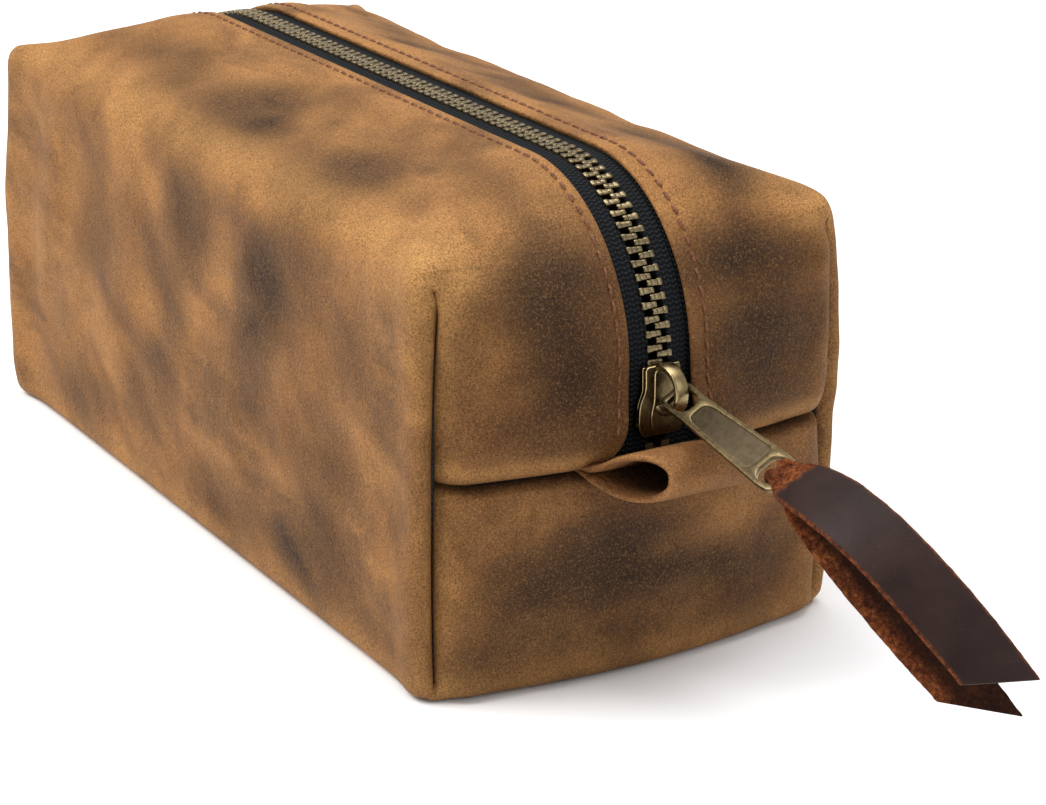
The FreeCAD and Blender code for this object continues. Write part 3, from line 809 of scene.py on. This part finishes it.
# ---- crown: a curved band, wider and thicker at its feet
def band(center, a0, a1, R, half_w, th, n=30):
    vs, sec = [], 12
    for i in range(n):
        u = i / (n - 1)
        a = a0 + (a1 - a0) * u
        foot = abs(2 * u - 1) ** 3
        hw, hh = half_w * (1 + .35 * foot), th / 2 * (1 + .35 * foot)
        c = np.array([center[0] + math.cos(a) * R, 0, center[2] + math.sin(a) * R])
        e = np.array([math.cos(a), 0, math.sin(a)])
        for k in range(sec):
            ph = 2 * math.pi * k / sec
            cx, cy = math.cos(ph), math.sin(ph)
            vs.append(c + e * hh * np.sign(cx) * abs(cx) ** .5 + np.array([0, 1, 0]) * hw * np.sign(cy) * abs(cy) ** .5)
    fs = [(i * sec + j, i * sec + (j + 1) % sec, (i + 1) * sec + (j + 1) % sec, (i + 1) * sec + j) for i in range(n - 1) for j in range(sec)]
    fs += [tuple(range(sec))[::-1], tuple(range((n - 1) * sec, n * sec))]
    return np.array(vs), fs


v, f = band(RING, math.radians(-112), math.radians(112), 5.45, 1.75, 1.45)
ob = new_mesh("slider_crown_brass", v, f)
clean(ob, angle=60)
ob.data.materials.append(CROWN_B)
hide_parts("slider_crown"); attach(ob, "slider")

# ---- puller
PA, PR = math.radians(-8), math.radians(32)
PL = np.array([math.cos(PA), 0, math.sin(PA)])
n0 = np.array([-math.sin(PA), 0, math.cos(PA)])
PW = np.array([0, math.cos(PR), 0]) + n0 * math.sin(PR)
PN = np.array([0, -math.sin(PR), 0]) + n0 * math.cos(PR)


def local(v, s0=0.0):
    v = np.asarray(v)
    return np.array(RING) + PL * (v[:, [0]] + s0) + PW * v[:, [1]] + PN * v[:, [2]]


r0, r1 = 1.7, 47.0
outer = rounded([(r0, -3.6), (3.4, -4.2), (12, -4.1), (r1 - 4, -5.1), (r1, -4.4), (r1, 4.4), (r1 - 4, 5.1), (12, 4.1), (3.4, 4.2), (r0, 3.6)], [1.2, 1.2, 3, 3.5, 3.0, 3.0, 3.5, 3, 1.2, 1.2], 8)
window = rounded([(3.4, -3.1), (8.4, -3.1), (10.4, -1.6), (10.4, 1.6), (8.4, 3.1), (3.4, 3.1)], [.7, 1.6, 1.2, 1.2, 1.6, .7], 6)
hole = rounded([(39.2, -2.4), (41, -3.9), (44.9, -3.9), (44.9, 3.9), (41, 3.9), (39.2, 2.4)], [1.6, 1.8, 1.8, 1.8, 1.8, 1.6], 7)
recess = rounded([(12.2, -2.3), (15, -3.0), (36.4, -3.9), (37.6, -2.6), (37.6, 2.6), (36.4, 3.9), (15, 3.0), (12.2, 2.3)], [1.6, 2, 1.6, 1.4, 1.4, 1.6, 2, 1.6], 7)
web = rounded([(11.6, -3.3), (37.9, -4.2), (37.9, 4.2), (11.6, 3.3)], 1.0, 6)
v1 = plate("p", [outer, window, hole, recess], .80, .24)
v2 = plate("p", [web], .42, .05)
v, f = merge([v1, v2])
ob = new_mesh("zip_puller_brass", local(v), f)
ob.data.materials.append(PULL)
ob.data.materials.append(PANEL)
for poly in ob.data.polygons:
    poly.material_index = 1 if poly.index >= len(v1[1]) else 0
ob.data.materials.append(RIM)
rims(ob, PN, 0, 2, 0)
clean(ob)
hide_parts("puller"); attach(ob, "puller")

# ------------------------------------------------------------------ the folded strap
H0 = 45.9


def spline(pts, n):
    p = np.array(pts, float)
    p = np.vstack([2 * p[0] - p[1], p, 2 * p[-1] - p[-2]])
    out, m_ = [], len(p) - 3
    for i in range(m_):
        a, b, c, d = p[i:i + 4]
        for t in np.linspace(0, 1, n, endpoint=False):
            out.append(.5 * ((2 * b) + (-a + c) * t + (2 * a - 5 * b + 4 * c - d) * t * t + (-a + 3 * b - 3 * c + d) * t ** 3))
    out.append(p[-2])
    return np.array(out)


# centreline in the puller's plane: (along, off the face, half width). Upper tail tip, round the bar, lower tail tip.
line_ctrl = [(70, -24.5, 7.3), (60, -12.2, 7.5), (48, -1.6, 7.5), (36, 4.8, 7.4), (24, 6.6, 7.3), (14, 5.6, 6.8), (7, 3.9, 6.0), (2.5, 2.7, 4.3), (-1.0, 2.2, 3.2), (-2.35, 0.0, 3.1),
             (-1.0, -2.2, 3.2), (2.5, -2.7, 3.8), (7, -4.0, 5.4), (14, -6.0, 6.6), (22, -9.2, 6.9), (32, -14.6, 7.0), (42, -22.0, 7.0), (52, -31.8, 6.8), (60.5, -42.2, 6.6)]
cl = spline(line_ctrl, 9)
seg = np.linalg.norm(np.diff(cl[:, :2], axis=0), axis=1)
arcl = np.concatenate([[0], np.cumsum(seg)])
even = np.linspace(0, arcl[-1], 190)
cl = np.stack([np.interp(even, arcl, cl[:, k]) for k in range(3)], 1)
tan = np.gradient(cl[:, :2], axis=0)
tan /= np.linalg.norm(tan, axis=1)[:, None]
# outward side of the fold is to the left or right of travel: take it away from the inside of the fold
nrm = np.stack([-tan[:, 1], tan[:, 0]], 1)
if (nrm[40] @ np.array([0, 1.0])) < 0:
    nrm = -nrm
WN = 17
vs, grain, gap_shade = [], [], []
mid_i = int(np.argmin(cl[:, 0]))
T2 = .86
n_l = len(cl)
r2 = np.random.RandomState(5)
edge_jit = r2.normal(0, 1, (n_l, 2))
for layer_sign in (1, -1):
    for i_ in range(n_l):
        s_c, n_c, hw = cl[i_]
        dist_mid = abs(even[i_] - even[mid_i])
        puff = math.exp(-(dist_mid / 7) ** 2)
        for j in range(WN):
            w = -1 + 2 * j / (WN - 1)
            # slanted ends
            shift = 0.0
            if i_ < 28:
                shift = (w - 1) * 5.2 * (1 - i_ / 28) ** 1.0
            elif i_ > n_l - 29:
                shift = (w - 1) * 7.5 * (1 - (n_l - 1 - i_) / 28)
            cup = .55 * (w * w) * (1 - puff)
            wob = .10 * math.sin(i_ * .12 + j * .25) * (1 - puff)
            e_ = 1 - (abs(w) ** 8) * .18
            hh = hw + (edge_jit[i_, 0 if w < 0 else 1] * .06 if abs(w) == 1 else 0)
            base = np.array([s_c, n_c]) + tan[i_] * (shift if i_ > mid_i else -shift)
            off = nrm[i_] * (layer_sign * T2 * e_ - cup + wob * .5 + puff * .5 * math.sin(w * 5 + i_ * .5))
            splay = -2.3 * float(sstep(4, 44, np.array(even[i_] - even[mid_i]))) if i_ > mid_i else .5 * float(sstep(4, 26, np.array(dist_mid)))
            vs.append([base[0] + off[0], w * hh + splay, base[1] + off[1]])
            g = 1.0 if (layer_sign > 0 and abs(w) < .93) else 0.0
            g *= float(sstep(10.6, 12.2, np.array(dist_mid + .5 * math.sin(j * 1.3) - .9 * w)))
            grain.append(g)
            # painted shade between the plies: most of the lower tail's inner face away from the fold, and the upper
            # tail's inner face
            gap_shade.append(float(sstep(-.78, -.30, np.array(w))) * float(sstep(6, 14, np.array(dist_mid))) * float(i_ > mid_i) * (layer_sign < 0) + .8 * (layer_sign < 0) * (i_ <= mid_i))
vs = np.array(vs)
fs = []
K = n_l * WN
for i_ in range(n_l - 1):
    for j in range(WN - 1):
        a = i_ * WN + j
        fs.append((a, a + 1, a + 1 + WN, a + WN))
        fs.append((K + a, K + a + WN, K + a + 1 + WN, K + a + 1))
    for j, fl in ((0, 1), (WN - 1, 0)):
        a = i_ * WN + j
        q = (a, a + WN, K + a + WN, K + a)
        fs.append(q if fl else q[::-1])
for i_, fl in ((0, 0), (n_l - 1, 1)):
    for j in range(WN - 1):
        a = i_ * WN + j
        q = (a, a + 1, K + a + 1, K + a)
        fs.append(q[::-1] if fl else q)
ob = new_mesh("pull_strap_leather", local(vs, H0), fs)
attr(ob, "grain", grain)
attr(ob, "gap_shade", gap_shade)
bm = bmesh.new(); bm.from_mesh(ob.data); bmesh.ops.recalc_face_normals(bm, faces=bm.faces); bm.to_mesh(ob.data); bm.free()
sb = ob.modifiers.new("smooth", "SUBSURF"); sb.levels = sb.render_levels = 1
ob.data.materials.append(STRAP)
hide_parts("pull_strap"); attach(ob, "strap")

# ------------------------------------------------------------------ loop tab
TY0, TY1 = -21.0, 25.0
tab_line = spline([(129.0, .55), (134.5, .9), (138.5, 2.4), (143, 4.7), (148, 5.7), (152.5, 5.0), (155.6, 2.9), (156.4, 0.2), (155.4, -2.6), (152, -4.9), (147, -5.4), (142, -4.2), (138, -2.1), (134.5, -.9), (129.0, -.55)], 7)
tan = np.gradient(tab_line, axis=0); tan /= np.linalg.norm(tan, axis=1)[:, None]
nr = np.stack([-tan[:, 1], tan[:, 0]], 1)
cen = np.array([146.0, 0])
nr *= np.sign(((tab_line - cen) * nr).sum(1).mean())
TH = 1.0
NY = 30
vs, lt, dk = [], [], []
for ls in (1, -1):
    for (x, h), (nx, nz) in zip(tab_line, nr):
        out = np.clip((x - 136) / 20, 0, 1)
        for j in range(NY):
            u = j / (NY - 1)
            y = (TY0 + 9.0 * out) * (1 - u) + (TY1 - 5.0 * out) * u
            droop = -3.2 * out * sstep(.35, 1.0, np.array(u))
            squash = 1 - .32 * float(sstep(.4, 1.0, np.array(u)))
            e_ = 1 - .35 * (abs(2 * u - 1) ** 14)
            xx = x + nx * ls * TH * e_ - 2.0 * out * float(sstep(.3, 1, np.array(u)))
            zz = 55.0 + h * .93 * squash + nz * ls * TH * e_ + .19 * max(0, x - 138) + droop
            vs.append((xx, y, zz))
            lt.append((.22 + .45 * (abs(2 * u - 1) ** 10)) if ls > 0 else 0.0)
            # dark: painted shade on the inner ply inside the loop; the outer ply darker towards its +y end
            dk.append(.95 * float(sstep(.02, .22, np.array(u))) if ls < 0 else .25 * float(sstep(.55, .95, np.array(u))))
M = len(tab_line)
K = M * NY
fs = []
for i_ in range(M - 1):
    for j in range(NY - 1):
        a = i_ * NY + j
        fs.append((a, a + 1, a + 1 + NY, a + NY)); fs.append((K + a, K + a + NY, K + a + 1 + NY, K + a + 1))
    for j in (0, NY - 1):
        a = i_ * NY + j
        fs.append((a, a + NY, K + a + NY, K + a))
for i_ in (0, M - 1):
    for j in range(NY - 1):
        a = i_ * NY + j
        fs.append((a, a + 1, K + a + 1, K + a))
ob = new_mesh("loop_tab_leather", vs, fs)
attr(ob, "dark", dk); attr(ob, "light", lt); attr(ob, "tone_and_face_light", np.full(len(vs), .6))
bm = bmesh.new(); bm.from_mesh(ob.data); bmesh.ops.recalc_face_normals(bm, faces=bm.faces); bm.to_mesh(ob.data); bm.free()
sb = ob.modifiers.new("smooth", "SUBSURF"); sb.levels = sb.render_levels = 1
ob.data.materials.append(TAB_LEATHER)
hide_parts("front_loop_tab")
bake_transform(ob)

# ------------------------------------------------------------------ CAD pieces that stay
for nm, mat in (("zip_top_stops", STOPS), ("zip_bottom_stop", CROWN_B), ("slider_lock_spring", BRASS)):
    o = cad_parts[nm]
    for sl in o.material_slots:
        sl.material = mat
    if not o.material_slots:
        o.data.materials.append(mat)
# the bindings take that near-black colour, painted shade where they show in the seams
for nm in ("front_end_binding", "front_corner_bindings", "rear_end_binding", "rear_corner_bindings"):
    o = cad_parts[nm]
    for sl in o.material_slots:
        sl.material = BINDING

# ------------------------------------------------------------------ floor, light, camera
fl = new_mesh("floor", [(-9, -9, 0), (9, -9, 0), (9, 9, 0), (-9, 9, 0)], [(0, 1, 2, 3)], scale=1.0)
fl.location.z = -.0003
fm = Mat("pale_floor")
fm.set(color=fm.mix(fm.maps(fm.noise(3, 2, .5), .3, .7), (.93, .93, .935), (.955, .955, .96)), rough=.75, spec=.1)
fl.data.materials.append(fm.m)

wd = bpy.data.worlds.new("studio")
sc.world = wd
wd.use_nodes = True
wd.node_tree.nodes["Background"].inputs[0].default_value = (1, 1, 1, 1)
wd.node_tree.nodes["Background"].inputs[1].default_value = .62


def area(name, loc, target, size, power, color=(1, 1, 1)):
    d = bpy.data.lights.new(name, "AREA")
    d.shape, d.size, d.energy, d.color = "SQUARE", size, power, color
    o = bpy.data.objects.new(name, d)
    o.location = loc
    o.rotation_euler = (Vector(target) - Vector(loc)).to_track_quat("-Z", "Y").to_euler()
    sc.collection.objects.link(o)


area("key", (-.35, -1.0, 1.35), (0, 0, .06), .9, 24, (1, .99, .97))
area("fill", (1.25, .35, .75), (.08, 0, .05), .8, 3.2, (.97, .98, 1))
area("top", (-.1, .25, 1.5), (0, 0, .05), 1.1, 14)

cam = bpy.data.cameras.new("camera")
cam.lens, cam.sensor_width, cam.clip_start = 98.03, 36.0, .01
co = bpy.data.objects.new("camera", cam)
yaw, pitch, rl = math.radians(-31.77), math.radians(20.47), math.radians(.743)
d = Vector((-math.cos(yaw) * math.cos(pitch), -math.sin(yaw) * math.cos(pitch), -math.sin(pitch)))
r = d.cross(Vector((0, 0, 1))).normalized()
u = r.cross(d)
r2 = r * math.cos(rl) + u * math.sin(rl)
u2 = u * math.cos(rl) - r * math.sin(rl)
co.matrix_world = Matrix(((r2.x, u2.x, -d.x, .6521), (r2.y, u2.y, -d.y, -.3585), (r2.z, u2.z, -d.z, .3030), (0, 0, 0, 1)))
sc.collection.objects.link(co)
sc.camera = co
sc.view_settings.view_transform = "Standard"
sc.view_settings.look = "None"

bpy.context.view_layer.update()
